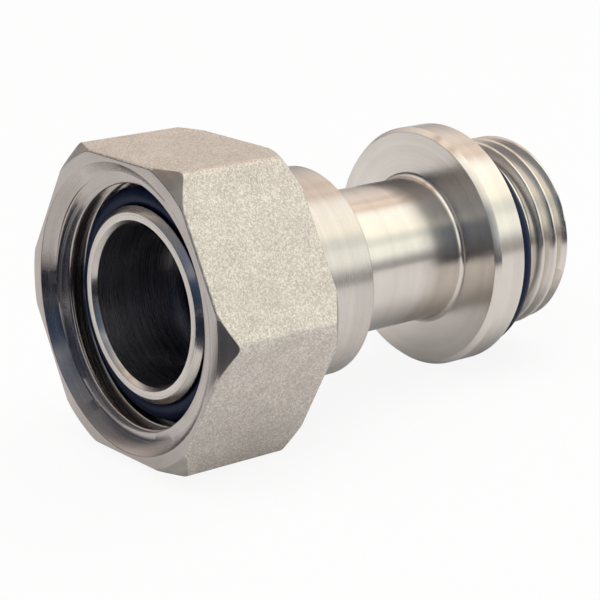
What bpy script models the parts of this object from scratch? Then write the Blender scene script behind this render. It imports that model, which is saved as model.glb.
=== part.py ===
"""Telescopic pipe fitting: a forged union nut that turns on a turned sleeve, and a
threaded tail that slides in the sleeve on O-rings. It lies on its side, as it would
come to rest: on the rear edge of the nut's lowest flat and on the rim of the flange.

Every piece is modelled about the local Z axis, which is the axis of the bore. Z runs
from the front face of the nut to the threaded end, and local +X points at the ground.
All values are in metres.
"""

from math import atan2, cos, pi, radians, sin, tan

import bmesh
import bpy
from mathutils import Vector

# Clearances
RUNNING_CLEARANCE = 0.0001
SEAT_CLEARANCE = 0.0001
SWIVEL_CLEARANCE = 0.0001
THREAD_CLEARANCE = 0.0002
BREAK_EDGE = 0.0003

# Tail: tube, flange and male thread, turned in one piece
TUBE_RADIUS = 0.0076
TUBE_WALL = 0.0015
TUBE_TRAVEL = 0.0145
TRAVEL_GAP = 0.0003
TUBE_END_LAND = 0.00095
TUBE_END_CHAMFER = 0.0004
ROOT_FILLET = 0.0006
FLANGE_RADIUS = 0.01285
FLANGE_THICKNESS = 0.00395
FLANGE_CHAMFER = 0.00045
FLANGE_CHAMFER_LENGTH = 0.00065
FLANGE_REAR_EDGE = 0.00015
FLANGE_RELIEF_DEPTH = 0.0003
MALE_THREAD_RADIUS = 0.01037
MALE_THREAD_DEPTH = 0.00116
MALE_THREAD_LENGTH = 0.0066
MALE_THREAD_CHAMFER = 0.0009
BORE_MOUTH_CHAMFER = 0.0005

# Retaining ring: a split wire ring sprung into a groove of the tube
RING_WIRE = 0.0011
RING_SPLIT = radians(20)
RING_GROOVE_DEPTH = 0.00083

# Sleeve: spigot, seat flange, and collar with the guide bore
SPIGOT_SETBACK = 0.00215
SPIGOT_CHAMFER = 0.0006
SPIGOT_MOUTH_CHAMFER = 0.00035
SPIGOT_MOUTH_CHAMFER_LENGTH = 0.0005
SPIGOT_LIP = 0.0007
SPIGOT_WALL = 0.0017
SPIGOT_GROOVE_DEPTH = 0.0006
BORE_STEP = 0.00045
SEAT_THICKNESS = 0.0028
COLLAR_WALL = 0.0012
COLLAR_LENGTH = 0.01475
GUIDE_LAND = 0.0012
GUIDE_END_LAND = 0.0010

# Seals
GUIDE_SEAL_SECTION = 0.0019
NUT_SEAL_SECTION = 0.0024
FLANGE_SEAL_SECTION = 0.0022
FLANGE_SEAL_BORE_RADIUS = 0.0093
FLANGE_SEAL_GAP = 0.00065
FLANGE_GROOVE_RADIUS = 0.0085

# Union nut: forged hexagon, bored and threaded from the front
NUT_LENGTH = 0.0142
NUT_FACE_RADIUS = 0.01575
NUT_CHAMFER_LENGTH = 0.0015
NUT_EDGE_BEVEL = 0.0004
NUT_WALL = 0.00179
NUT_LIP = 0.0028
SHOULDER_CATCH = 0.00085
FEMALE_THREAD_DEPTH = 0.00116
RELIEF_LENGTH = 0.0022
RELIEF_DEPTH = 0.00015
LEAD_IN_RADIUS = 0.0145
LEAD_IN_ANGLE = radians(42)

# Fineness of the round surfaces
NUT_SEGMENTS = 96
TURNED_SEGMENTS = 64
SEAL_SEGMENTS = 40
SEAL_SECTION_SEGMENTS = 10
HIDDEN_SEAL_SECTION_SEGMENTS = 8
FILLET_STEPS = 4
NUT_EDGE_STEPS = 2
SHARP_ANGLE = radians(25)

# Radii, worked out from the tube outwards
bore_radius = TUBE_RADIUS - TUBE_WALL
guide_radius = TUBE_RADIUS + RUNNING_CLEARANCE
sleeve_bore_radius = guide_radius + BORE_STEP
spigot_radius = sleeve_bore_radius + SPIGOT_WALL
guide_groove_radius = TUBE_RADIUS + GUIDE_SEAL_SECTION + 2 * SEAT_CLEARANCE
collar_radius = guide_groove_radius + COLLAR_WALL
lip_radius = collar_radius + SWIVEL_CLEARANCE
seat_radius = lip_radius + SHOULDER_CATCH
female_minor_radius = seat_radius + THREAD_CLEARANCE
female_major_radius = female_minor_radius + FEMALE_THREAD_DEPTH
flat_distance = female_major_radius + NUT_WALL
nut_corner_radius = flat_distance / cos(pi / 6)
male_minor_radius = MALE_THREAD_RADIUS - MALE_THREAD_DEPTH
flange_seal_sag = FLANGE_SEAL_BORE_RADIUS - FLANGE_GROOVE_RADIUS - SEAT_CLEARANCE
flange_land_radius = FLANGE_SEAL_BORE_RADIUS + FLANGE_SEAL_SECTION + SEAT_CLEARANCE

# Stations along the axis, from the front face of the nut
spigot_face = SPIGOT_SETBACK
spigot_groove_start = spigot_face + SPIGOT_LIP
seat_front = spigot_groove_start + NUT_SEAL_SECTION + 2 * SEAT_CLEARANCE
seat_rear = seat_front + SEAT_THICKNESS
sleeve_rear = seat_rear + COLLAR_LENGTH
guide_groove_length = GUIDE_SEAL_SECTION + 4 * SEAT_CLEARANCE
rear_groove_end = sleeve_rear - GUIDE_END_LAND
rear_groove_start = rear_groove_end - guide_groove_length
front_groove_end = rear_groove_start - GUIDE_LAND
front_groove_start = front_groove_end - guide_groove_length
guide_start = front_groove_start - GUIDE_LAND
ring_station = guide_start - SEAT_CLEARANCE - RING_WIRE / 2
ring_groove_start = ring_station - RING_WIRE / 2 - SEAT_CLEARANCE
ring_groove_end = ring_station + RING_WIRE / 2 + SEAT_CLEARANCE
tube_front = ring_groove_start - TUBE_END_LAND
flange_front = sleeve_rear + TUBE_TRAVEL + TRAVEL_GAP
flange_rear = flange_front + FLANGE_THICKNESS
flange_seal_station = flange_rear + FLANGE_SEAL_GAP + FLANGE_SEAL_SECTION / 2
male_thread_start = flange_seal_station + FLANGE_SEAL_SECTION / 2 + SEAT_CLEARANCE
tail_end = male_thread_start + MALE_THREAD_LENGTH


def rest_pose():
    """Tilt of the axis and place of the nut's front centre, with the fitting on the ground."""
    supports = [
        (flange_rear - FLANGE_REAR_EDGE, FLANGE_RADIUS),
        (tail_end - MALE_THREAD_CHAMFER, MALE_THREAD_RADIUS),
    ]
    pivot = NUT_LENGTH if all(radius < flat_distance for _, radius in supports) else 0.0
    tilt = min(atan2(flat_distance - radius, station - pivot) for station, radius in supports)
    height = pivot * sin(tilt) + flat_distance * cos(tilt)
    front_reach = -flat_distance * sin(tilt)
    rear_reach = tail_end * cos(tilt) + (MALE_THREAD_RADIUS - MALE_THREAD_CHAMFER) * sin(tilt)
    return tilt, Vector((-(front_reach + rear_reach) / 2, 0, height))


def clear_scene():
    for old in list(bpy.data.objects):
        bpy.data.objects.remove(old, do_unlink=True)


def new_collection(name):
    collection = bpy.data.collections.new(name)
    bpy.context.scene.collection.children.link(collection)
    return collection


def material(name, color, metallic, roughness):
    made = bpy.data.materials.new(name)
    made.use_nodes = True
    shader = made.node_tree.nodes["Principled BSDF"]
    shader.inputs["Base Color"].default_value = (*color, 1)
    shader.inputs["Metallic"].default_value = metallic
    shader.inputs["Roughness"].default_value = roughness
    return made


def add_object(name, data, collection, frame):
    made = bpy.data.objects.new(name, data)
    collection.objects.link(made)
    made.parent = frame
    return made


def arc(centre, radius, start, end, steps):
    """Points (radius, station) on a circular arc of a profile, ends included."""
    points = []
    for step in range(steps + 1):
        angle = start + (end - start) * step / steps
        points.append((centre[0] + radius * cos(angle), centre[1] + radius * sin(angle)))
    return points


def turned(name, profile, collection, frame, segments):
    """A closed profile of (radius, station) points, spun about the axis of the bore."""
    mesh = bpy.data.meshes.new(name)
    count = len(profile)
    edges = [(index, (index + 1) % count) for index in range(count)]
    mesh.from_pydata([(radius, 0, station) for radius, station in profile], edges, [])
    made = add_object(name, mesh, collection, frame)
    spin = made.modifiers.new("spin", "SCREW")
    spin.axis = "Z"
    spin.steps = segments
    spin.render_steps = segments
    spin.use_smooth_shade = True
    return made


def shade_round(made):
    """Smooth shading with the turned edges kept sharp, on the finished mesh."""
    graph = bpy.context.evaluated_depsgraph_get()
    finished = bpy.data.meshes.new_from_object(made.evaluated_get(graph))
    made.modifiers.clear()
    made.data = finished
    finished.shade_smooth()
    finished.set_sharp_from_angle(angle=SHARP_ANGLE)
    weighting = made.modifiers.new("face_weighting", "WEIGHTED_NORMAL")
    weighting.keep_sharp = True


def hexagon(name, collection, frame):
    """The forged hexagon, longer than the nut at both ends, with a flat facing the ground."""
    mesh = bpy.data.meshes.new(name)
    blank = bmesh.new()
    bmesh.ops.create_cone(
        blank,
        cap_ends=True,
        segments=6,
        radius1=nut_corner_radius,
        radius2=nut_corner_radius,
        depth=2 * NUT_LENGTH,
    )
    bmesh.ops.translate(blank, verts=blank.verts, vec=(0, 0, NUT_LENGTH / 2))
    blank.to_mesh(mesh)
    blank.free()
    made = add_object(name, mesh, collection, frame)
    rounding = made.modifiers.new("forged_edges", "BEVEL")
    rounding.width = NUT_EDGE_BEVEL
    rounding.segments = NUT_EDGE_STEPS
    made.hide_render = True
    made.display_type = "WIRE"
    return made


def make_union_nut(parts, cutters, frame):
    """A turned and bored ring, cut to the hexagon. Its chamfers leave curved edges on the flats."""
    blank_radius = nut_corner_radius + BREAK_EDGE
    steepness = NUT_CHAMFER_LENGTH / (nut_corner_radius - NUT_FACE_RADIUS)
    slope = steepness * (blank_radius - NUT_FACE_RADIUS)
    lead_in_depth = (LEAD_IN_RADIUS - female_minor_radius) / tan(LEAD_IN_ANGLE)
    relief_radius = female_major_radius + RELIEF_DEPTH
    lip_front = NUT_LENGTH - NUT_LIP
    relief_start = lip_front - RELIEF_LENGTH
    profile = [
        (NUT_FACE_RADIUS, NUT_LENGTH),
        (blank_radius, NUT_LENGTH - slope),
        (blank_radius, slope),
        (NUT_FACE_RADIUS, 0),
        (LEAD_IN_RADIUS, 0),
        (female_minor_radius, lead_in_depth),
        (female_minor_radius, relief_start - (relief_radius - female_minor_radius)),
        (relief_radius, relief_start),
        (relief_radius, lip_front),
        (lip_radius, lip_front),
        (lip_radius, NUT_LENGTH - BREAK_EDGE),
        (lip_radius + BREAK_EDGE, NUT_LENGTH),
    ]
    nut = turned("union_nut", profile, parts, frame, NUT_SEGMENTS)
    cut = nut.modifiers.new("hexagon", "BOOLEAN")
    cut.operation = "INTERSECT"
    cut.object = hexagon("nut_hexagon", cutters, frame)
    return nut


def make_seal_sleeve(parts, frame):
    """Spigot with the nut's seal groove, seat flange, and collar with two inner seal grooves."""
    groove_root = spigot_radius - SPIGOT_GROOVE_DEPTH
    profile = [
        (collar_radius - BREAK_EDGE, sleeve_rear),
        (collar_radius, sleeve_rear - BREAK_EDGE),
        (collar_radius, seat_rear),
        (seat_radius, seat_rear),
        (seat_radius, seat_front),
        (groove_root, seat_front),
        (groove_root, spigot_groove_start),
        (spigot_radius, spigot_groove_start),
        (spigot_radius, spigot_face + SPIGOT_CHAMFER),
        (spigot_radius - SPIGOT_CHAMFER, spigot_face),
        (sleeve_bore_radius + SPIGOT_MOUTH_CHAMFER, spigot_face),
        (sleeve_bore_radius, spigot_face + SPIGOT_MOUTH_CHAMFER_LENGTH),
        (sleeve_bore_radius, guide_start),
        (guide_radius, guide_start),
        (guide_radius, front_groove_start),
        (guide_groove_radius, front_groove_start),
        (guide_groove_radius, front_groove_end),
        (guide_radius, front_groove_end),
        (guide_radius, rear_groove_start),
        (guide_groove_radius, rear_groove_start),
        (guide_groove_radius, rear_groove_end),
        (guide_radius, rear_groove_end),
        (guide_radius, sleeve_rear - BREAK_EDGE),
        (guide_radius + BREAK_EDGE, sleeve_rear),
    ]
    return turned("seal_sleeve", profile, parts, frame, TURNED_SEGMENTS)


def make_telescopic_tail(parts, frame):
    """Tube, flange and male end in one turned piece, with a fillet where tube and flange meet.

    The rear face of the flange is relieved for the O-ring, so that it bears on its outer land.
    """
    ring_groove_root = TUBE_RADIUS - RING_GROOVE_DEPTH
    relief_floor = flange_rear - FLANGE_RELIEF_DEPTH
    male_end_radius = MALE_THREAD_RADIUS - MALE_THREAD_CHAMFER
    fillet_centre = (TUBE_RADIUS + ROOT_FILLET, flange_front - ROOT_FILLET)
    profile = [
        (male_end_radius, tail_end),
        (MALE_THREAD_RADIUS, tail_end - MALE_THREAD_CHAMFER),
        (MALE_THREAD_RADIUS, male_thread_start + MALE_THREAD_DEPTH / 2),
        (male_minor_radius, male_thread_start),
        (FLANGE_GROOVE_RADIUS, male_thread_start),
        (FLANGE_GROOVE_RADIUS, relief_floor),
        (flange_land_radius, relief_floor),
        (flange_land_radius, flange_rear),
        (FLANGE_RADIUS - FLANGE_REAR_EDGE, flange_rear),
        (FLANGE_RADIUS, flange_rear - FLANGE_REAR_EDGE),
        (FLANGE_RADIUS, flange_front + FLANGE_CHAMFER_LENGTH),
        (FLANGE_RADIUS - FLANGE_CHAMFER, flange_front),
        *arc(fillet_centre, ROOT_FILLET, pi / 2, pi, FILLET_STEPS),
        (TUBE_RADIUS, ring_groove_end),
        (ring_groove_root, ring_groove_end),
        (ring_groove_root, ring_groove_start),
        (TUBE_RADIUS, ring_groove_start),
        (TUBE_RADIUS, tube_front + TUBE_END_CHAMFER),
        (TUBE_RADIUS - TUBE_END_CHAMFER, tube_front),
        (bore_radius + BREAK_EDGE, tube_front),
        (bore_radius, tube_front + BREAK_EDGE),
        (bore_radius, tail_end - BORE_MOUTH_CHAMFER),
        (bore_radius + BORE_MOUTH_CHAMFER, tail_end),
    ]
    return turned("telescopic_tail", profile, parts, frame, TURNED_SEGMENTS)


def make_o_ring(name, inner_radius, section, station, section_segments, parts, frame):
    """A rubber ring of round section, seated at a station of the axis."""
    bpy.ops.mesh.primitive_torus_add(
        major_segments=SEAL_SEGMENTS,
        minor_segments=section_segments,
        major_radius=inner_radius + section / 2,
        minor_radius=section / 2,
    )
    ring = bpy.context.object
    ring.name = name
    for holder in list(ring.users_collection):
        holder.objects.unlink(ring)
    parts.objects.link(ring)
    ring.parent = frame
    ring.location.z = station
    ring.data.shade_smooth()
    return ring


def make_retaining_ring(parts, frame):
    """A split ring of round wire, in the groove at the front of the tube."""
    ring_radius = TUBE_RADIUS - RING_GROOVE_DEPTH + SEAT_CLEARANCE + RING_WIRE / 2
    curve = bpy.data.curves.new("retaining_ring", "CURVE")
    curve.dimensions = "3D"
    curve.bevel_depth = RING_WIRE / 2
    curve.bevel_resolution = 1
    curve.use_fill_caps = True
    path = curve.splines.new("POLY")
    path.points.add(SEAL_SEGMENTS - 1)
    for index, point in enumerate(path.points):
        angle = RING_SPLIT / 2 + (2 * pi - RING_SPLIT) * index / (SEAL_SEGMENTS - 1)
        point.co = (ring_radius * cos(angle), ring_radius * sin(angle), ring_station, 1)
    return add_object("retaining_ring", curve, parts, frame)


def main():
    clear_scene()
    parts = new_collection("telescopic_pipe_fitting")
    cutters = new_collection("cutters")
    tilt, nut_front = rest_pose()
    frame = bpy.data.objects.new("bore_axis", None)
    parts.objects.link(frame)
    frame.location = nut_front
    frame.rotation_euler = (0, pi / 2 + tilt, 0)

    nut = make_union_nut(parts, cutters, frame)
    sleeve = make_seal_sleeve(parts, frame)
    tail = make_telescopic_tail(parts, frame)
    ring = make_retaining_ring(parts, frame)
    nut_seal = make_o_ring(
        "nut_o_ring",
        spigot_radius - SPIGOT_GROOVE_DEPTH + SEAT_CLEARANCE,
        NUT_SEAL_SECTION,
        (spigot_groove_start + seat_front) / 2,
        SEAL_SECTION_SEGMENTS,
        parts,
        frame,
    )
    guide_seal_stations = {
        "sleeve_o_ring_front": (front_groove_start + front_groove_end) / 2,
        "sleeve_o_ring_rear": (rear_groove_start + rear_groove_end) / 2,
    }
    guide_seals = []
    for name, station in guide_seal_stations.items():
        seal = make_o_ring(
            name,
            TUBE_RADIUS + SEAT_CLEARANCE,
            GUIDE_SEAL_SECTION,
            station,
            HIDDEN_SEAL_SECTION_SEGMENTS,
            parts,
            frame,
        )
        guide_seals.append(seal)
    flange_seal = make_o_ring(
        "flange_o_ring",
        FLANGE_SEAL_BORE_RADIUS,
        FLANGE_SEAL_SECTION,
        flange_seal_station,
        SEAL_SECTION_SEGMENTS,
        parts,
        frame,
    )
    flange_seal.location.x = flange_seal_sag
    bpy.context.view_layer.update()
    for made in (nut, sleeve, tail):
        shade_round(made)

    nut.data.materials.clear()
    nut.data.materials.append(material("blasted_nickel_plated_brass", (0.66, 0.63, 0.57), 1.0, 0.45))
    sleeve.data.materials.append(material("turned_nickel_plated_brass", (0.70, 0.67, 0.62), 1.0, 0.3))
    tail.data.materials.append(material("polished_nickel_plated_brass", (0.72, 0.69, 0.64), 1.0, 0.22))
    ring.data.materials.append(material("spring_steel_wire", (0.45, 0.45, 0.46), 1.0, 0.35))
    for seal in (nut_seal, *guide_seals, flange_seal):
        seal.data.materials.append(material(seal.name + "_rubber", (0.012, 0.016, 0.024), 0.0, 0.45))


main()
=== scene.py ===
"""Looks of the telescopic pipe fitting: nickel-plated brass, blasted on the nut and turned
on the sleeve and tail, with right-hand pipe threads and dark rubber seals.

Lengths are in millimetres until a mesh is made. Each metal piece is built about its bore
axis, which runs along local Z from the front face of the nut to the threaded end.
"""

from math import atan2, cos, pi, radians, sin, tan

import bmesh
import bpy
import numpy as np
from mathutils import Euler, Matrix, Vector


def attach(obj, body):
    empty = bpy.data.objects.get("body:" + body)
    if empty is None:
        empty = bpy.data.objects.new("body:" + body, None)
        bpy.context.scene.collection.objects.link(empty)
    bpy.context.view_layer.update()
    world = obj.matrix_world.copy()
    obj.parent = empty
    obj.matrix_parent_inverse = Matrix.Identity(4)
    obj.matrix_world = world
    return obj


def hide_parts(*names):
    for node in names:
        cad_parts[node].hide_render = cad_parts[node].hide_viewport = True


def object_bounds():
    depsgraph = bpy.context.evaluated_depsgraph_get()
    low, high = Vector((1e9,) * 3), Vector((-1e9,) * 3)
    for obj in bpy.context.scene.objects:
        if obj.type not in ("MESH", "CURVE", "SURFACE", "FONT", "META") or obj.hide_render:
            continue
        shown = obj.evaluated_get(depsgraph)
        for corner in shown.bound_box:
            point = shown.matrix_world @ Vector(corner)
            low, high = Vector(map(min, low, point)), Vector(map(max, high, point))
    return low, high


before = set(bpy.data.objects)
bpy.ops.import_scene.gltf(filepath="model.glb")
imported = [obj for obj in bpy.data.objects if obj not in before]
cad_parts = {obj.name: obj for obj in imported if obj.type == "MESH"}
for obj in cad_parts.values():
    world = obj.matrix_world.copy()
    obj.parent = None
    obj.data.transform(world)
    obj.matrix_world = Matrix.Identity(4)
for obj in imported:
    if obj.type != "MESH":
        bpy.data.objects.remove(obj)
cad_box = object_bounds()

MM = 0.001

# The place of the bore axis, as the fitting lies on the rear edge of a nut flat and on the flange
AXIS_TILT = radians(4.48664356)
NUT_FRONT = Vector((-25.3551, 0, 16.0649)) * MM
AXIS_FRAME = Matrix.Translation(NUT_FRONT) @ Matrix.Rotation(pi / 2 + AXIS_TILT, 4, "Y")

PITCH = 1.814
EDGE = 0.08

# Nut
NUT_LENGTH = 14.2
HALF_FLATS = 15.0
NUT_CORNER_ROUND = 1.0
NUT_CORNER = 17.32
NUT_FACE_RADIUS = 15.75
NUT_CHAMFER_LENGTH = 1.5
NUT_MIN_CHAMFER = 0.16
NUT_LIP_RADIUS = 11.0
NUT_LIP_FRONT = 11.4
NUT_LIP_CHAMFER = 0.3
NUT_RELIEF_DEPTH = 0.15
NUT_RUN_OUT = (0.4, 0.5)
NUT_RELIEF_START = 9.2
NUT_THREAD_START = 1.17
NUT_THREAD_MINOR = 12.05
NUT_THREAD_MAJOR = 13.44
NUT_FIRST_CREST = 1.4
LEAD_IN_RADIUS = 14.5
LEAD_IN_ANGLE = radians(42)

# Sleeve
SPIGOT_FACE = 2.15
SPIGOT_RADIUS = 9.85
SPIGOT_CHAMFER = 0.6
SPIGOT_MOUTH = (0.35, 0.5)
SEAL_GROOVE_FRONT = 2.85
SEAL_GROOVE_RADIUS = 9.25
SEAT_FRONT = 5.45
SEAT_REAR = 8.25
SEAT_RADIUS = 11.85
COLLAR_RADIUS = 10.9
COLLAR_REAR = 23.0
COLLAR_CHAMFER = 0.25
COLLAR_MOUTH_CHAMFER = 0.3
SLEEVE_BORE = 8.15
GUIDE_BORE = 7.7
GUIDE_START = 15.0
INNER_GROOVES = ((16.2, 18.5), (19.7, 22.0))
INNER_GROOVE_RADIUS = 9.7

# Tail
TUBE_FRONT = 12.75
TUBE_RADIUS = 7.6
TUBE_END_CHAMFER = 0.4
TAIL_BORE = 6.1
TAIL_MOUTH_CHAMFER = 0.3
RING_GROOVE = (13.7, 15.0)
RING_GROOVE_RADIUS = 6.77
FLANGE_FRONT = 37.8
FLANGE_REAR = 41.75
FLANGE_RADIUS = 12.85
FLANGE_CHAMFER = (0.45, 0.65)
FLANGE_REAR_EDGE = 0.15
ROOT_FILLET = 0.6
FLANGE_GROOVE_RADIUS = 8.5
FLANGE_LAND_RADIUS = 11.6
FLANGE_RELIEF = 0.3
THREAD_START = 44.7
TAIL_END = 51.3
TAIL_END_CHAMFER = 0.5
THREAD_MAJOR = 10.37
THREAD_MINOR = 9.21
THREAD_END_CHAMFER = 0.9
THREAD_RUN_IN_SLOPE = 1.2

# Seals: inner radius, section, station, and how far the loose one hangs off the axis
NUT_SEAL = (9.35, 2.4, 4.15, 0.0)
FLANGE_SEAL = (9.3, 2.2, 43.5, 0.7)


# Shapes


def fillet(points, radii, steps=4):
    """A closed profile with each corner rounded. Points may be numbers or one value per column."""
    rounded = []
    count = len(points)
    for index in range(count):
        before = np.stack(np.broadcast_arrays(*points[index - 1]), -1).astype(float)
        corner = np.stack(np.broadcast_arrays(*points[index]), -1).astype(float)
        after = np.stack(np.broadcast_arrays(*points[(index + 1) % count]), -1).astype(float)
        if radii[index] == 0:
            rounded.append((corner[..., 0], corner[..., 1]))
            continue
        to_before = before - corner
        to_after = after - corner
        length_before = np.linalg.norm(to_before, axis=-1, keepdims=True)
        length_after = np.linalg.norm(to_after, axis=-1, keepdims=True)
        to_before = to_before / length_before
        to_after = to_after / length_after
        cosine = np.clip((to_before * to_after).sum(-1, keepdims=True), -0.9999, 0.9999)
        half_angle = np.arccos(cosine) / 2
        reach = radii[index] / np.tan(half_angle)
        reach = np.minimum(reach, 0.45 * np.minimum(length_before, length_after))
        radius = reach * np.tan(half_angle)
        middle = to_before + to_after
        middle = middle / np.linalg.norm(middle, axis=-1, keepdims=True)
        centre = corner + middle * radius / np.sin(half_angle)
        start = corner + to_before * reach - centre
        end = corner + to_after * reach - centre
        sweep = pi - 2 * half_angle
        for step in range(steps + 1):
            share = step / steps
            point = (start * np.sin((1 - share) * sweep) + end * np.sin(share * sweep)) / np.sin(sweep)
            point = centre + point
            rounded.append((point[..., 0], point[..., 1]))
    return rounded


def spun(name, rows, angles, body, replaced, slots, finish_at=None, sag=0.0):
    """A closed surface of rings. Each row gives a radius and a station for every angle.

    Each face takes the material whose number finish_at(radius, station) gives for its middle.
    """
    radius = np.array([np.broadcast_to(row[0], angles.shape) for row in rows])
    station = np.array([np.broadcast_to(row[1], angles.shape) for row in rows])
    x = radius * np.cos(angles) + sag
    y = radius * np.sin(angles)
    points = np.stack([x, y, station], -1).reshape(-1, 3) * MM
    row_count = len(rows)
    column_count = len(angles)
    faces = []
    finishes = []
    for row in range(row_count):
        following = (row + 1) % row_count
        for column in range(column_count - 1):
            a = row * column_count + column
            b = following * column_count + column
            faces.append((a, a + 1, b + 1, b))
            middle_radius = (radius[row, column] + radius[following, column]) / 2
            middle_station = (station[row, column] + station[following, column]) / 2
            finishes.append(int(finish_at(middle_radius, middle_station)) if finish_at else 0)
    mesh = bpy.data.meshes.new(name)
    mesh.from_pydata(points.tolist(), [], faces)
    for slot_material in slots:
        mesh.materials.append(slot_material)
    mesh.polygons.foreach_set("material_index", finishes)
    welded = bmesh.new()
    welded.from_mesh(mesh)
    bmesh.ops.remove_doubles(welded, verts=welded.verts, dist=0.0005 * MM)
    bmesh.ops.recalc_face_normals(welded, faces=welded.faces)
    welded.to_mesh(mesh)
    welded.free()
    made = bpy.data.objects.new(name, mesh)
    bpy.context.scene.collection.objects.link(made)
    made.matrix_world = AXIS_FRAME
    finish_shading(made)
    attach(made, body)
    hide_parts(replaced)
    return made


def finish_shading(made):
    """Smooth faces whose normals follow the large faces, so that flats stay flat beside a round."""
    made.data.shade_smooth()
    made.data.set_sharp_from_angle(angle=radians(50))
    weighting = made.modifiers.new("face_weighting", "WEIGHTED_NORMAL")
    weighting.keep_sharp = True
    weighting.weight = 80


def even_angles(count):
    return np.linspace(0, 2 * pi, count + 1)


def nut_angles():
    """Columns of the nut, closer together at the rounded corners of the hexagon."""
    sector = np.concatenate(
        [
            np.linspace(-30, -28, 6)[:-1],
            np.linspace(-28, -16, 9)[:-1],
            np.linspace(-16, 16, 13)[:-1],
            np.linspace(16, 28, 9)[:-1],
            np.linspace(28, 30, 6)[:-1],
        ]
    )
    degrees = np.concatenate([sector + 60 * side for side in range(6)] + [[330.0]])
    return np.radians(degrees)


def hexagon_radius(angles):
    """Distance from the axis to the hexagon, with its long edges rounded."""
    from_flat = np.abs((angles + pi / 6) % (pi / 3) - pi / 6)
    flat = HALF_FLATS / np.cos(from_flat)
    round_centre = (HALF_FLATS - NUT_CORNER_ROUND) / cos(pi / 6)
    from_corner = pi / 6 - from_flat
    across = round_centre * np.sin(from_corner)
    rounded = round_centre * np.cos(from_corner)
    rounded = rounded + np.sqrt(np.maximum(NUT_CORNER_ROUND**2 - across**2, 0))
    tangent = atan2((HALF_FLATS - NUT_CORNER_ROUND) * tan(pi / 6), HALF_FLATS)
    return np.where(from_flat > tangent, rounded, flat)


def thread_rows(angles, start, end, first, profile, limit, inward):
    """Rows that follow a right-hand helix. limit gives the turned radius that cuts the thread.

    first is the station at which the profile begins on the first column.
    """
    turn = PITCH * angles / (2 * pi)
    turn = turn - turn[0]
    pitches = int((end - start) / PITCH) + 5
    shares = [point[0] for point in profile]
    heights = [point[1] for point in profile]
    rows = []
    for pitch_number in range(-3, pitches):
        for share in shares[:-1]:
            station = first + (pitch_number + share) * PITCH + turn
            clamped = np.clip(station, start, end)
            along = ((clamped - turn - first) / PITCH) % 1.0
            radius = np.interp(along, shares, heights)
            cut = limit(clamped)
            radius = np.maximum(radius, cut) if inward else np.minimum(radius, cut)
            rows.append((radius, clamped))
    return rows


def whitworth(root, crest, root_width=0.14, crest_width=0.16, rounding=0.05):
    """One pitch of a pipe thread as (share of the pitch, radius), from the middle of a root."""
    half_root = root_width / 2
    half_crest = crest_width / 2
    rise = crest - root
    return [
        (0.0, root),
        (half_root, root + 0.03 * rise),
        (half_root + rounding, root + 0.16 * rise),
        (0.5 - half_crest - rounding, crest - 0.14 * rise),
        (0.5 - half_crest + 0.01, crest - 0.03 * rise),
        (0.5 - half_crest / 2, crest),
        (0.5, crest),
        (0.5 + half_crest / 2, crest),
        (0.5 + half_crest - 0.01, crest - 0.03 * rise),
        (0.5 + half_crest + rounding, crest - 0.14 * rise),
        (1 - half_root - rounding, root + 0.16 * rise),
        (1 - half_root, root + 0.03 * rise),
        (1.0, root),
    ]


def make_nut(slots):
    angles = nut_angles()
    outside = hexagon_radius(angles)
    steepness = NUT_CHAMFER_LENGTH / (NUT_CORNER - NUT_FACE_RADIUS)
    face_edge = np.minimum(NUT_FACE_RADIUS, outside - NUT_MIN_CHAMFER)
    chamfer = np.maximum(NUT_MIN_CHAMFER, steepness * (outside - NUT_FACE_RADIUS))
    corners = [
        (LEAD_IN_RADIUS, 0.0),
        (face_edge, 0.0 * angles),
        (outside, chamfer),
        (outside, NUT_LENGTH - chamfer),
        (face_edge, NUT_LENGTH + 0.0 * angles),
        (NUT_LIP_RADIUS + NUT_LIP_CHAMFER, NUT_LENGTH),
        (NUT_LIP_RADIUS, NUT_LENGTH - NUT_LIP_CHAMFER),
        (NUT_LIP_RADIUS, NUT_LIP_FRONT),
        (NUT_THREAD_MAJOR + NUT_RELIEF_DEPTH, NUT_LIP_FRONT),
        (NUT_THREAD_MAJOR + NUT_RELIEF_DEPTH, NUT_RELIEF_START),
        (NUT_THREAD_MINOR + NUT_RUN_OUT[0], NUT_RELIEF_START - NUT_RUN_OUT[1]),
        (LEAD_IN_RADIUS - NUT_THREAD_START * tan(LEAD_IN_ANGLE), NUT_THREAD_START),
    ]
    rounds = [0.12, 0.16, 0.16, 0.16, 0.16, EDGE, EDGE, EDGE, EDGE, 0.0, 0.0, 0.0]
    rows = fillet(corners, rounds)

    def bored(station):
        return NUT_THREAD_MINOR + 0.0 * station

    thread = thread_rows(
        angles,
        NUT_THREAD_START,
        NUT_RELIEF_START - NUT_RUN_OUT[1],
        NUT_FIRST_CREST,
        whitworth(NUT_THREAD_MINOR, NUT_THREAD_MAJOR),
        bored,
        inward=True,
    )
    rows = rows[:-1] + thread[::-1] + rows[-1:]

    def nut_finish(radius, station):
        """The flats stay blasted (0), the bore and end faces are turned (1), the chamfers rough (2)."""
        from_end = min(station, NUT_LENGTH - station)
        if radius < LEAD_IN_RADIUS + 0.02 or from_end < 0.01:
            return 1
        return 2 if from_end < steepness * (radius - NUT_FACE_RADIUS) + 0.04 else 0

    return spun("nut_forging", rows, angles, "nut", "union_nut", slots, finish_at=nut_finish)


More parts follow.
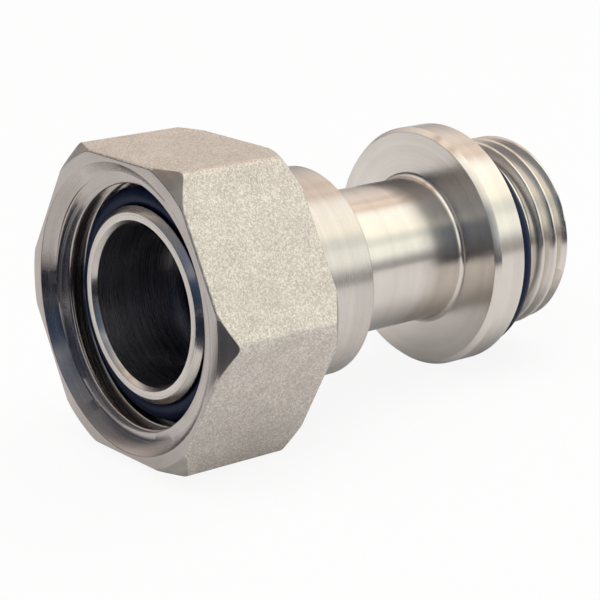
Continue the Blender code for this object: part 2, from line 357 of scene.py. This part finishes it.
def make_sleeve(slots):
    corners = [
        (COLLAR_RADIUS - COLLAR_CHAMFER, COLLAR_REAR, EDGE),
        (COLLAR_RADIUS, COLLAR_REAR - COLLAR_CHAMFER, EDGE),
        (COLLAR_RADIUS, SEAT_REAR, EDGE),
        (SEAT_RADIUS, SEAT_REAR, EDGE),
        (SEAT_RADIUS, SEAT_FRONT, EDGE),
        (SEAL_GROOVE_RADIUS, SEAT_FRONT, EDGE),
        (SEAL_GROOVE_RADIUS, SEAL_GROOVE_FRONT, EDGE),
        (SPIGOT_RADIUS, SEAL_GROOVE_FRONT, 0.04),
        (SPIGOT_RADIUS, SPIGOT_FACE + SPIGOT_CHAMFER, 0.06),
        (SPIGOT_RADIUS - SPIGOT_CHAMFER, SPIGOT_FACE, 0.06),
        (SLEEVE_BORE + SPIGOT_MOUTH[0], SPIGOT_FACE, 0.06),
        (SLEEVE_BORE, SPIGOT_FACE + SPIGOT_MOUTH[1], 0.06),
        (SLEEVE_BORE, GUIDE_START, 0.06),
        (GUIDE_BORE, GUIDE_START, 0.06),
    ]
    for start, end in INNER_GROOVES:
        corners += [
            (GUIDE_BORE, start, 0.05),
            (INNER_GROOVE_RADIUS, start, 0.05),
            (INNER_GROOVE_RADIUS, end, 0.05),
            (GUIDE_BORE, end, 0.05),
        ]
    corners += [
        (GUIDE_BORE, COLLAR_REAR - COLLAR_MOUTH_CHAMFER, 0.05),
        (GUIDE_BORE + COLLAR_MOUTH_CHAMFER, COLLAR_REAR, 0.05),
    ]
    rows = fillet([corner[:2] for corner in corners], [corner[2] for corner in corners])
    return spun(
        "turned_sleeve",
        rows,
        even_angles(192),
        "sleeve",
        "seal_sleeve",
        slots,
        finish_at=lambda radius, station: radius < SLEEVE_BORE + 0.05,
    )


def make_tail(slots):
    corners = [
        (FLANGE_GROOVE_RADIUS, FLANGE_REAR - FLANGE_RELIEF, 0.0),
        (FLANGE_LAND_RADIUS, FLANGE_REAR - FLANGE_RELIEF, 0.04),
        (FLANGE_LAND_RADIUS, FLANGE_REAR, 0.04),
        (FLANGE_RADIUS - FLANGE_REAR_EDGE, FLANGE_REAR, 0.05),
        (FLANGE_RADIUS, FLANGE_REAR - FLANGE_REAR_EDGE, 0.05),
        (FLANGE_RADIUS, FLANGE_FRONT + FLANGE_CHAMFER[1], 0.06),
        (FLANGE_RADIUS - FLANGE_CHAMFER[0], FLANGE_FRONT, 0.06),
        (TUBE_RADIUS, FLANGE_FRONT, ROOT_FILLET),
        (TUBE_RADIUS, RING_GROOVE[1], 0.04),
        (RING_GROOVE_RADIUS, RING_GROOVE[1], 0.04),
        (RING_GROOVE_RADIUS, RING_GROOVE[0], 0.04),
        (TUBE_RADIUS, RING_GROOVE[0], 0.04),
        (TUBE_RADIUS, TUBE_FRONT + TUBE_END_CHAMFER, 0.1),
        (TUBE_RADIUS - TUBE_END_CHAMFER, TUBE_FRONT, 0.1),
        (TAIL_BORE + TAIL_MOUTH_CHAMFER, TUBE_FRONT, 0.1),
        (TAIL_BORE, TUBE_FRONT + TAIL_MOUTH_CHAMFER, 0.1),
        (TAIL_BORE, TAIL_END - TAIL_END_CHAMFER, 0.1),
        (TAIL_BORE + TAIL_END_CHAMFER, TAIL_END, 0.1),
    ]
    rows = fillet([corner[:2] for corner in corners], [corner[2] for corner in corners], steps=6)
    angles = even_angles(256)
    end_radius = THREAD_MAJOR - THREAD_END_CHAMFER

    def turned_end(station):
        from_end = end_radius + (TAIL_END - station)
        from_start = THREAD_MINOR + (station - THREAD_START) * THREAD_RUN_IN_SLOPE
        return np.minimum(np.minimum(from_end, from_start), THREAD_MAJOR)

    thread = thread_rows(
        angles,
        THREAD_START,
        TAIL_END,
        THREAD_START,
        whitworth(THREAD_MINOR, THREAD_MAJOR),
        turned_end,
        inward=False,
    )
    rows = rows + thread[::-1] + [(FLANGE_GROOVE_RADIUS, THREAD_START)]
    return spun(
        "threaded_tail",
        rows,
        angles,
        "tail",
        "telescopic_tail",
        slots,
        finish_at=lambda radius, station: radius < TAIL_BORE + 0.05,
    )


def make_seal(name, seal, body, replaced, slots):
    inner_radius, section, station, sag = seal
    turns = np.linspace(0, 2 * pi, 25)[:-1]
    half = section / 2
    rows = [(inner_radius + half + half * cos(turn), station + half * sin(turn)) for turn in turns]
    return spun(name, rows, even_angles(128), body, replaced, slots, sag=sag)


# Materials


def linear(hex_colour):
    """A colour written as sRGB hex, as the linear values that a shader takes."""
    values = [int(hex_colour[place : place + 2], 16) / 255 for place in (1, 3, 5)]
    return [v / 12.92 if v <= 0.04045 else ((v + 0.055) / 1.055) ** 2.4 for v in values] + [1.0]


def add(tree, kind, inputs=None, stops=(), **settings):
    """One node with its settings and links.

    An input is a value, or a (node, output) to link from. The stops of a colour ramp are
    (place, colour) pairs, where a colour is a hex or a plain shade.
    """
    made = tree.nodes.new("ShaderNode" + kind)
    for name, value in settings.items():
        setattr(made, name, value)
    for number, (place, colour) in enumerate(stops):
        elements = made.color_ramp.elements
        element = elements[number] if number < len(elements) else elements.new(place)
        element.position = place
        element.color = linear(colour) if isinstance(colour, str) else (colour, colour, colour, 1)
    for name, value in (inputs or {}).items():
        if isinstance(value, tuple) and isinstance(value[0], bpy.types.Node):
            tree.links.new(value[0].outputs[value[1]], made.inputs[name])
        else:
            made.inputs[name].default_value = value
    return made


def new_material(name):
    made = bpy.data.materials.new(name)
    made.use_nodes = True
    made.node_tree.nodes.clear()
    return made, made.node_tree


def blasted_nickel():
    """Nickel plate over a shot-blasted forging: a pale satin metal that sparkles grain by grain, partly
    through its dents and partly through a painted sparkle in each grain's colour.
    """
    made, tree = new_material("shot_blasted_nickel_plate")
    place = add(tree, "TexCoord")
    # The dents of the shot are about 0.1 mm, drawn at 0.17 mm, the finest that a pixel shows
    dents = {"Vector": (place, "Object"), "Scale": 1 / (0.17 * MM)}
    dimples = add(tree, "TexVoronoi", dents, feature="SMOOTH_F1")
    grain_sparkle_cells = add(tree, "TexVoronoi", {"Vector": (place, "Object"), "Scale": 1 / (0.13 * MM)})
    grit_size = {"Vector": (place, "Object"), "Scale": 1 / (0.15 * MM), "Detail": 2.0, "Roughness": 0.6}
    grit = add(tree, "TexNoise", grit_size)
    cloud = add(tree, "TexNoise", {"Vector": (place, "Object"), "Scale": 1 / (2.6 * MM), "Detail": 2.0})
    # Each grain is painted lighter or darker at random as a painted sparkle of grains catching the
    # light, under a faint cloudiness of the plating
    grain = add(tree, "SeparateColor", {"Color": (grain_sparkle_cells, "Color")})
    mixed = add(tree, "Mix", {0: 0.45, 2: (grit, "Fac"), 3: (grain, "Red")}, data_type="FLOAT")
    mixed = add(tree, "Mix", {0: 0.2, 2: (mixed, 0), 3: (cloud, "Fac")}, data_type="FLOAT")
    # These shades carry the painted grain sparkle together with the plating's own cloudiness
    sparkle_and_cloud_shades = [(0.26, "#BBB4AD"), (0.5, "#D6CFC8"), (0.74, "#F2ECE5")]
    tint = add(tree, "ValToRGB", {"Fac": (mixed, 0)}, stops=sparkle_and_cloud_shades)
    gloss = add(tree, "ValToRGB", {"Fac": (grit, "Fac")}, stops=[(0.35, 0.48), (0.65, 0.66)])
    shallow = add(tree, "Bump", {"Strength": 0.8, "Distance": 0.035 * MM, "Height": (grit, "Fac")})
    dented = {"Strength": 0.8, "Distance": 0.035 * MM, "Height": (dimples, "Distance")}
    bump = add(tree, "Bump", {**dented, "Normal": (shallow, "Normal")})
    look = {"Base Color": (tint, "Color"), "Metallic": 1.0, "Roughness": (gloss, "Color")}
    surface = add(tree, "BsdfPrincipled", {**look, "Normal": (bump, "Normal")})
    add(tree, "OutputMaterial", {"Surface": (surface, "BSDF")})
    return made


def turned_nickel(name, colours, roughness, mark_depth, marks_mm):
    """Nickel plate over turned brass: a mirror that the tool marks blur along the axis only."""
    made, tree = new_material(name)
    place = add(tree, "TexCoord")
    parts = add(tree, "SeparateXYZ", {"Vector": (place, "Object")})
    across = add(tree, "CombineXYZ", {"X": (parts, "X"), "Y": (parts, "Y")})
    radius = add(tree, "VectorMath", {0: (across, 0)}, operation="LENGTH")
    along = add(tree, "Math", {0: (radius, "Value"), 1: (parts, "Z")}, operation="ADD")
    # Real tool marks are about 0.1 mm apart, and are drawn a little wider so that they show
    marks = {"W": (along, 0), "Scale": 1 / (marks_mm * MM), "Detail": 3.0, "Roughness": 0.7}
    fine = add(tree, "TexNoise", marks, noise_dimensions="1D")
    bands = {"W": (along, 0), "Scale": 1 / (1.6 * MM), "Detail": 2.0}
    broad = add(tree, "TexNoise", bands, noise_dimensions="1D")
    patches = {"Vector": (place, "Object"), "Scale": 1 / (4.5 * MM), "Detail": 3.0, "Distortion": 0.4}
    stain = add(tree, "TexNoise", patches)
    mixed = add(tree, "Mix", {0: 0.5, 2: (broad, "Fac"), 3: (stain, "Fac")}, data_type="FLOAT")
    tint = add(tree, "ValToRGB", {"Fac": (mixed, 0)}, stops=[(0.35, colours[0]), (0.65, colours[1])])
    shine = [(0.3, roughness[0]), (0.7, roughness[1])]
    gloss = add(tree, "ValToRGB", {"Fac": (fine, "Fac")}, stops=shine)
    # The polished skin is a little uneven, which mottles what it mirrors
    uneven = {"Vector": (place, "Object"), "Scale": 1 / (1.1 * MM), "Detail": 2.5, "Roughness": 0.6}
    dips = add(tree, "TexNoise", uneven)
    rough = add(tree, "Bump", {"Strength": 0.35, "Distance": 0.012 * MM, "Height": (dips, "Fac")})
    cut = {"Strength": 0.3, "Distance": mark_depth * MM, "Height": (fine, "Fac")}
    bump = add(tree, "Bump", {**cut, "Normal": (rough, "Normal")})
    tangent = add(tree, "Tangent", direction_type="RADIAL", axis="Z")
    look = {"Base Color": (tint, "Color"), "Metallic": 1.0, "Roughness": (gloss, "Color")}
    drawn_out = {"Anisotropic": 0.7, "Anisotropic Rotation": 0.25, "Tangent": (tangent, "Tangent")}
    surface = add(tree, "BsdfPrincipled", {**look, **drawn_out, "Normal": (bump, "Normal")})
    add(tree, "OutputMaterial", {"Surface": (surface, "BSDF")})
    return made


def seal_rubber():
    """Moulded nitrile rubber: near black with a blue cast, and a dull shine along its crown."""
    made, tree = new_material("moulded_nitrile_rubber")
    place = add(tree, "TexCoord")
    skin = add(tree, "TexNoise", {"Vector": (place, "Object"), "Scale": 1 / (0.5 * MM), "Detail": 4.0})
    tint = add(tree, "ValToRGB", {"Fac": (skin, "Fac")}, stops=[(0.3, "#071130"), (0.7, "#0E2140")])
    gloss = add(tree, "ValToRGB", {"Fac": (skin, "Fac")}, stops=[(0.3, 0.34), (0.7, 0.5)])
    bump = add(tree, "Bump", {"Strength": 0.25, "Distance": 0.02 * MM, "Height": (skin, "Fac")})
    look = {"Base Color": (tint, "Color"), "Roughness": (gloss, "Color"), "Specular IOR Level": 0.15}
    surface = add(tree, "BsdfPrincipled", {**look, "Normal": (bump, "Normal")})
    add(tree, "OutputMaterial", {"Surface": (surface, "BSDF")})
    return made


def spring_wire():
    """Drawn spring steel: a plain mid grey with a faint grain from the die."""
    made, tree = new_material("drawn_spring_steel_wire")
    place = add(tree, "TexCoord")
    marks = add(tree, "TexNoise", {"Vector": (place, "Object"), "Scale": 1 / (0.4 * MM)})
    tint = add(tree, "ValToRGB", {"Fac": (marks, "Fac")}, stops=[(0.3, "#77777A"), (0.7, "#9A9A9C")])
    gloss = add(tree, "ValToRGB", {"Fac": (marks, "Fac")}, stops=[(0.3, 0.3), (0.7, 0.45)])
    look = {"Base Color": (tint, "Color"), "Metallic": 1.0, "Roughness": (gloss, "Color")}
    surface = add(tree, "BsdfPrincipled", look)
    add(tree, "OutputMaterial", {"Surface": (surface, "BSDF")})
    return made


# Studio

# The tent and the room beyond it glow at this strength, so that nickel mirrors a cloth about
# as its hex is written
SET_STRENGTH = 1.5


def seen_directly(tree):
    """1 where the camera, a mirror or a glass looks at the surface, 0 where it only lights others."""
    rays = add(tree, "LightPath")
    looked_at = {0: (rays, "Is Camera Ray"), 1: (rays, "Is Glossy Ray")}
    seen = add(tree, "Math", looked_at, operation="MAXIMUM")
    return add(tree, "Math", {0: (seen, 0), 1: (rays, "Is Transmission Ray")}, operation="MAXIMUM")


def make_world():
    """White where it is looked at, and a dimmer warm grey for what it lights."""
    world = bpy.data.worlds.new("studio")
    world.use_nodes = True
    tree = world.node_tree
    tree.nodes.clear()
    seen = seen_directly(tree)
    dim = add(tree, "Background", {"Color": linear("#F2F2F2"), "Strength": 0.5})
    white = add(tree, "Background", {"Color": (1, 1, 1, 1), "Strength": 1.0})
    mixed = add(tree, "MixShader", {0: (seen, 0), 1: (dim, 0), 2: (white, 0)})
    add(tree, "OutputWorld", {"Surface": (mixed, 0)})
    bpy.context.scene.world = world


def sheet(name, corners, shader_for):
    """A flat sheet of the set, with its own material."""
    mesh = bpy.data.meshes.new(name)
    mesh.from_pydata(corners, [], [tuple(range(len(corners)))])
    made = bpy.data.objects.new(name, mesh)
    bpy.context.scene.collection.objects.link(made)
    finish, tree = new_material(name)
    add(tree, "OutputMaterial", {"Surface": (shader_for(tree), 0)})
    mesh.materials.append(finish)
    return made


def pale_floor(tree):
    """A matt pale floor that keeps the shadow, lifted to white for the camera."""
    matt = add(tree, "BsdfDiffuse", {"Color": linear("#ECECEF")})
    glow = add(tree, "Emission", {"Color": (1, 1, 1, 1), "Strength": 1.0})
    rays = add(tree, "LightPath")
    share = add(tree, "Math", {0: (seen_directly(tree), 0), 1: 0.1}, operation="MULTIPLY")
    lifted = {0: (rays, "Is Camera Ray"), 1: 0.8, 2: (share, 0)}
    share = add(tree, "Math", lifted, operation="MULTIPLY_ADD")
    return add(tree, "MixShader", {0: (share, 0), 1: (matt, 0), 2: (glow, 0)})


def make_floor():
    half = 3.0
    level = cad_box[0][2] - 0.00002
    corners = [(-half, -half, level), (half, -half, level), (half, half, level), (-half, half, level)]
    sheet("pale_studio_floor", corners, pale_floor)


def see_only_mirrored(made):
    """What stands beside the set shows in polished metal and lights nothing."""
    made.visible_camera = False
    made.visible_shadow = False
    made.visible_diffuse = False


def make_table_cloths():
    """Two cloths on the table that only the metal shows.

    The dark one, at the front left, is what the nut's lower chamfer, its lead-in and the flanks
    of its thread mirror. The grey one is the gap below the front of the tent, a thin line along
    the neck.
    """
    above_floor = 0.0004
    dark = [(-0.6, -0.6), (-0.03, -0.6), (-0.03, -0.022)]
    dark += [(-0.062, -0.018), (-0.056, 0.002), (-0.048, 0.02), (-0.07, 0.034), (-0.6, 0.08)]
    grey = [(-0.03, -0.9), (1.6, -0.9), (1.6, -0.1), (-0.03, -0.1)]
    for name, corners, colour in (
        ("dark_table_cloth", dark, "#262C3B"),
        ("grey_table_cloth", grey, "#A5A4A4"),
    ):
        placed = [(x, y, above_floor) for x, y in corners]
        cloth = sheet(name, placed, lambda tree: add(tree, "BsdfDiffuse", {"Color": linear(colour)}))
        see_only_mirrored(cloth)


def make_dark_room():
    """The unlit room past the tent's open end, which the flanks of the nut's thread mirror."""
    corners = [(-1.3, -1.2, -0.1), (-1.3, 1.2, -0.1), (-1.3, 1.2, 1.2), (-1.3, -1.2, 1.2)]
    unlit = {"Color": linear("#1C2334"), "Strength": SET_STRENGTH}
    see_only_mirrored(sheet("dark_room", corners, lambda tree: add(tree, "Emission", unlit)))


def make_overhead_softbox():
    light = bpy.data.lights.new("overhead_softbox", "AREA")
    light.shape = "RECTANGLE"
    light.size = 1.8
    light.size_y = 0.75
    light.energy = 9.5
    light.color = linear("#FFFBF4")[:3]
    made = bpy.data.objects.new("overhead_softbox", light)
    made.location = (0.0, -0.10, 1.0)
    made.rotation_euler = (Vector((0, 0, 0.012)) - made.location).to_track_quat("-Z", "Y").to_euler()
    made.visible_glossy = False
    bpy.context.scene.collection.objects.link(made)


# The tent's cloths by angle, from the table behind (0), over the top, to the table in front (180)
CLOTH_BANDS = (
    (0, "#858589"),
    (12, "#A09B97"),
    (24, "#B5ADA8"),
    (38, "#C8BFBA"),
    (54, "#DED2C7"),
    (60, "#D6C8BD"),
    (64, "#A38F87"),
    (67, "#E6D8CA"),
    (75, "#E9DBCC"),
    (79, "#B7A297"),
    (84, "#E6D9CB"),
    (92, "#FFFDF6"),
    (130, "#FEFAEA"),
    (138, "#D9DCD4"),
    (146, "#D3D6CF"),
    (152, "#EBEEE5"),
    (165, "#EBECE4"),
    (171, "#CBCECA"),
    (177, "#9C9B9B"),
)
OPEN_END_BANDS = (
    (0, "#3E424B"),
    (40, "#4A4C52"),
    (60, "#6A6C72"),
    (90, "#6A6C72"),
    (95, "#60697A"),
    (118, "#60697A"),
    (121, "#868C96"),
    (130, "#868C96"),
    (137, "#354760"),
    (165, "#2E3E56"),
    (170, "#3B404B"),
    (178, "#3B404B"),
)


def make_tent():
    """A half-round light tent along the fitting, whose cloths are the bands on the turned metal.

    Pale grey cloth rises behind to two brown seams, the cream top light lies overhead, a
    grey-green fold and a pale cloth hang in front, and the left end is open to a dark blue room.
    """
    radius = 0.8
    ends = (-1.6, 1.6)
    angles = np.radians(np.linspace(-1, 181, 92))
    points = [(x, radius * cos(angle), radius * sin(angle)) for angle in angles for x in ends]
    faces = [(2 * k, 2 * k + 1, 2 * k + 3, 2 * k + 2) for k in range(len(angles) - 1)]
    mesh = bpy.data.meshes.new("light_tent")
    mesh.from_pydata(points, [], faces)
    tent = bpy.data.objects.new("light_tent", mesh)
    bpy.context.scene.collection.objects.link(tent)
    made, tree = new_material("light_tent_cloth")
    place = add(tree, "TexCoord")
    parts = add(tree, "SeparateXYZ", {"Vector": (place, "Object")})
    angle = add(tree, "Math", {0: (parts, "Z"), 1: (parts, "Y")}, operation="ARCTAN2")
    share = add(tree, "Math", {0: (angle, 0), 1: pi}, operation="DIVIDE")
    bands = [(degrees / 180, colour) for degrees, colour in CLOTH_BANDS]
    cloth = add(tree, "ValToRGB", {"Fac": (share, 0)}, stops=bands)
    bands = [(degrees / 180, colour) for degrees, colour in OPEN_END_BANDS]
    room = add(tree, "ValToRGB", {"Fac": (share, 0)}, stops=bands)
    edge = {"Value": (parts, "X"), "From Min": -0.42, "From Max": -0.25}
    within = add(tree, "MapRange", edge, interpolation_type="SMOOTHSTEP")
    halves = {0: (within, 0), 6: (room, "Color"), 7: (cloth, "Color")}
    mixed = add(tree, "Mix", halves, data_type="RGBA")
    glow = add(tree, "Emission", {"Color": (mixed, 2), "Strength": SET_STRENGTH})
    add(tree, "OutputMaterial", {"Surface": (glow, "Emission")})
    mesh.materials.append(made)
    see_only_mirrored(tent)


def make_camera():
    """The photograph's view, fitted to it in the frame of the bore axis."""
    data = bpy.data.cameras.new("camera")
    data.sensor_width = 36
    data.lens = 129.555
    data.clip_start = 0.01
    camera = bpy.data.objects.new("camera", data)
    bpy.context.scene.collection.objects.link(camera)
    place = Matrix.Translation(Vector((-59.666, -166.837, -111.278)) * MM)
    turn = Euler((radians(163.6324), radians(-51.3558), radians(-89.983))).to_matrix().to_4x4()
    camera.matrix_world = AXIS_FRAME @ place @ turn
    bpy.context.scene.camera = camera


# The fitting

blasted = blasted_nickel()
threaded = turned_nickel("threaded_nickel_plate", ("#B5ADA8", "#C4BCB7"), (0.15, 0.28), 0.003, 0.2)
rough_cut = turned_nickel("rough_cut_nickel_plate", ("#A39D98", "#C6BFB8"), (0.34, 0.52), 0.02, 0.22)
turned = turned_nickel("fine_turned_nickel_plate", ("#C9C3BD", "#D7D1CB"), (0.18, 0.3), 0.002, 0.16)
polished = turned_nickel("polished_nickel_plate", ("#D8D2CB", "#E3DDD6"), (0.17, 0.27), 0.002, 0.14)
bored = turned_nickel("drilled_bore_nickel_plate", ("#96959C", "#AEADB2"), (0.22, 0.36), 0.006, 0.25)
rubber = seal_rubber()
wire = spring_wire()

make_nut([blasted, threaded, rough_cut])
make_sleeve([turned, bored])
make_tail([polished, bored])
make_seal("nut_face_seal", NUT_SEAL, "nut_seal", "nut_o_ring", [rubber])
make_seal("flange_seal", FLANGE_SEAL, "tail", "flange_o_ring", [rubber])
for node_name, node_material in (
    ("sleeve_o_ring_front", rubber),
    ("sleeve_o_ring_rear", rubber),
    ("retaining_ring", wire),
):
    for node_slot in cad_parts[node_name].material_slots:
        node_slot.material = node_material

make_world()
make_floor()
make_overhead_softbox()
make_tent()
make_table_cloths()
make_dark_room()
make_camera()

bpy.context.scene.view_settings.view_transform = "Standard"
